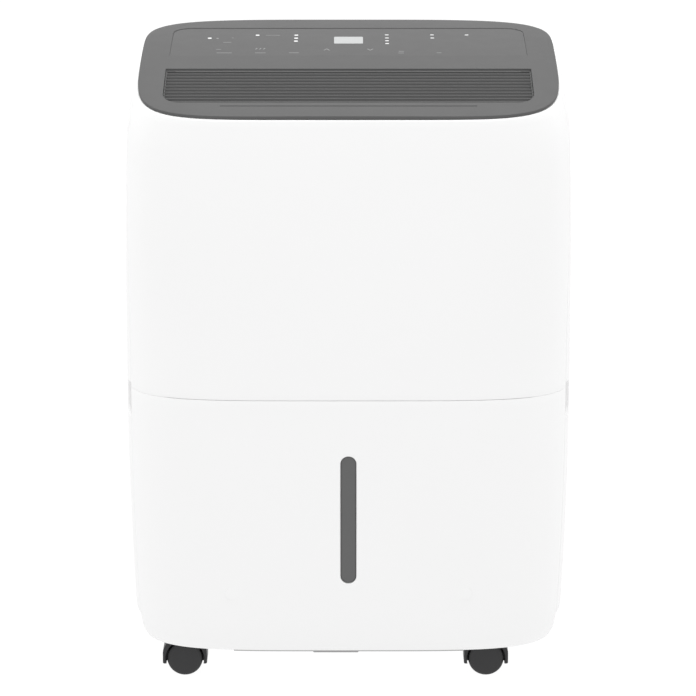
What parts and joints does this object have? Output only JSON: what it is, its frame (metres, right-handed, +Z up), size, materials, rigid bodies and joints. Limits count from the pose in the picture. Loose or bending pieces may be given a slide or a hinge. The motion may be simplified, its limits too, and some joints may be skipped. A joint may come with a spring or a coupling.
{
  "type": "portable dehumidifier",
  "caption": "Upright portable dehumidifier with an arched grey top panel, louvred outlet vent, pull-out water bucket with a level window, and swivelling twin-wheel casters.",
  "frame": {"origin": "on the floor, under the middle of the casing", "axes": "+Z up, -Y towards the front with the bucket, +X to the right seen from the front"},
  "size_m": [0.346, 0.2449, 0.4925],
  "materials": {
    "white_plastic": "satin",
    "panel_plastic": "matte",
    "vent_plastic": "matte",
    "film_plastic": "satin",
    "display_plastic": "gloss",
    "lens_plastic": "gloss",
    "smoked_plastic": "gloss",
    "inner_plastic": "matte",
    "bucket_plastic": "satin",
    "caster_plastic": "satin",
    "wheel_plastic": "satin",
    "black_paint": "satin",
    "fin_aluminium": "satin",
    "copper": "polished",
    "steel": "brushed",
    "rubber": "matte",
    "board_green": "satin",
    "filter_fabric": "woven"
  },
  "bodies": {
    "housing": {"base_pan": "inner_plastic", "rear_shell": "white_plastic", "front_cover": "white_plastic", "carry_handle_left": "white_plastic", "carry_handle_right": "white_plastic", "mid_deck": "inner_plastic", "bay_wall": "inner_plastic", "top_panel": "panel_plastic", "vent_grille": "vent_plastic", "control_film": "film_plastic", "display_window": "display_plastic", "light_guide": "lens_plastic", "control_board": "board_green", "fan_scroll": "inner_plastic", "fan_motor": "steel", "coil_bulkhead": "inner_plastic", "condenser": "fin_aluminium", "evaporator": "fin_aluminium", "drip_tray": "inner_plastic", "compressor": "black_paint", "compressor_mount": "rubber", "discharge_pipe": "copper", "suction_pipe": "copper", "capillary_tube": "copper", "capacitor": "steel", "electrical_box": "caster_plastic", "humidity_sensor": "bucket_plastic", "bucket_sensor": "caster_plastic", "cord_gland": "rubber"},
    "fan": {"fan_impeller": "caster_plastic"},
    "filter": {"intake_grille": "white_plastic", "filter_frame": "panel_plastic", "filter_mesh": "filter_fabric"},
    "drain_plug": {"drain_cap": "panel_plastic"},
    "bucket": {"bucket_front": "white_plastic", "bucket_window": "smoked_plastic", "bucket_tub": "bucket_plastic", "bucket_lid": "bucket_plastic"},
    "bucket_bail": {"bucket_handle": "bucket_plastic"},
    "float": {"bucket_float": "display_plastic"},
    "front_left_caster": {"front_left_caster_hood": "caster_plastic", "front_left_caster_stem": "steel", "front_left_caster_axle": "steel"},
    "front_left_front_wheel": {"front_left_caster_front_wheel": "wheel_plastic"},
    "front_left_back_wheel": {"front_left_caster_back_wheel": "wheel_plastic"},
    "front_right_caster": {"front_right_caster_hood": "caster_plastic", "front_right_caster_stem": "steel", "front_right_caster_axle": "steel"},
    "front_right_front_wheel": {"front_right_caster_front_wheel": "wheel_plastic"},
    "front_right_back_wheel": {"front_right_caster_back_wheel": "wheel_plastic"},
    "rear_left_caster": {"rear_left_caster_hood": "caster_plastic", "rear_left_caster_stem": "steel", "rear_left_caster_axle": "steel"},
    "rear_left_front_wheel": {"rear_left_caster_front_wheel": "wheel_plastic"},
    "rear_left_back_wheel": {"rear_left_caster_back_wheel": "wheel_plastic"},
    "rear_right_caster": {"rear_right_caster_hood": "caster_plastic", "rear_right_caster_stem": "steel", "rear_right_caster_axle": "steel"},
    "rear_right_front_wheel": {"rear_right_caster_front_wheel": "wheel_plastic"},
    "rear_right_back_wheel": {"rear_right_caster_back_wheel": "wheel_plastic"}
  },
  "joints": [
    {"name": "fan_spin", "type": "hinge", "parent": "housing", "child": "fan", "pos_m": [0, -0.088, 0.335], "axis": [0, 1, 0], "continuous": true},
    {"name": "filter_pull", "type": "slide", "parent": "housing", "child": "filter", "axis": [0, 1, 0], "range_m": [0, 0.06]},
    {"name": "drain_cap_pull", "type": "slide", "parent": "housing", "child": "drain_plug", "axis": [0, 1, 0], "range_m": [0, 0.03]},
    {"name": "bucket_pull", "type": "slide", "parent": "housing", "child": "bucket", "axis": [0, -1, 0], "range_m": [0, 0.16]},
    {"name": "bucket_handle_swing", "type": "hinge", "parent": "bucket", "child": "bucket_bail", "pos_m": [0, -0.055, 0.199], "axis": [-1, 0, 0], "range_deg": [0, 90]},
    {"name": "float_rise", "type": "slide", "parent": "bucket", "child": "float", "axis": [0, 0, 1], "range_m": [0, 0.09]},
    {"name": "front_left_swivel", "type": "hinge", "parent": "housing", "child": "front_left_caster", "pos_m": [-0.1185, -0.074, 0], "axis": [0, 0, 1], "continuous": true},
    {"name": "front_left_front_wheel_spin", "type": "hinge", "parent": "front_left_caster", "child": "front_left_front_wheel", "pos_m": [-0.1287, -0.0814, 0.014], "axis": [0, 1, 0], "continuous": true},
    {"name": "front_left_back_wheel_spin", "type": "hinge", "parent": "front_left_caster", "child": "front_left_back_wheel", "pos_m": [-0.1287, -0.0666, 0.014], "axis": [0, 1, 0], "continuous": true},
    {"name": "front_right_swivel", "type": "hinge", "parent": "housing", "child": "front_right_caster", "pos_m": [0.1185, -0.074, 0], "axis": [0, 0, 1], "continuous": true},
    {"name": "front_right_front_wheel_spin", "type": "hinge", "parent": "front_right_caster", "child": "front_right_front_wheel", "pos_m": [0.1083, -0.0814, 0.014], "axis": [0, 1, 0], "continuous": true},
    {"name": "front_right_back_wheel_spin", "type": "hinge", "parent": "front_right_caster", "child": "front_right_back_wheel", "pos_m": [0.1083, -0.0666, 0.014], "axis": [0, 1, 0], "continuous": true},
    {"name": "rear_left_swivel", "type": "hinge", "parent": "housing", "child": "rear_left_caster", "pos_m": [-0.1185, 0.074, 0], "axis": [0, 0, 1], "continuous": true},
    {"name": "rear_left_front_wheel_spin", "type": "hinge", "parent": "rear_left_caster", "child": "rear_left_front_wheel", "pos_m": [-0.1287, 0.0666, 0.014], "axis": [0, 1, 0], "continuous": true},
    {"name": "rear_left_back_wheel_spin", "type": "hinge", "parent": "rear_left_caster", "child": "rear_left_back_wheel", "pos_m": [-0.1287, 0.0814, 0.014], "axis": [0, 1, 0], "continuous": true},
    {"name": "rear_right_swivel", "type": "hinge", "parent": "housing", "child": "rear_right_caster", "pos_m": [0.1185, 0.074, 0], "axis": [0, 0, 1], "continuous": true},
    {"name": "rear_right_front_wheel_spin", "type": "hinge", "parent": "rear_right_caster", "child": "rear_right_front_wheel", "pos_m": [0.1083, 0.0666, 0.014], "axis": [0, 1, 0], "continuous": true},
    {"name": "rear_right_back_wheel_spin", "type": "hinge", "parent": "rear_right_caster", "child": "rear_right_back_wheel", "pos_m": [0.1083, 0.0814, 0.014], "axis": [0, 1, 0], "continuous": true}
  ]
}
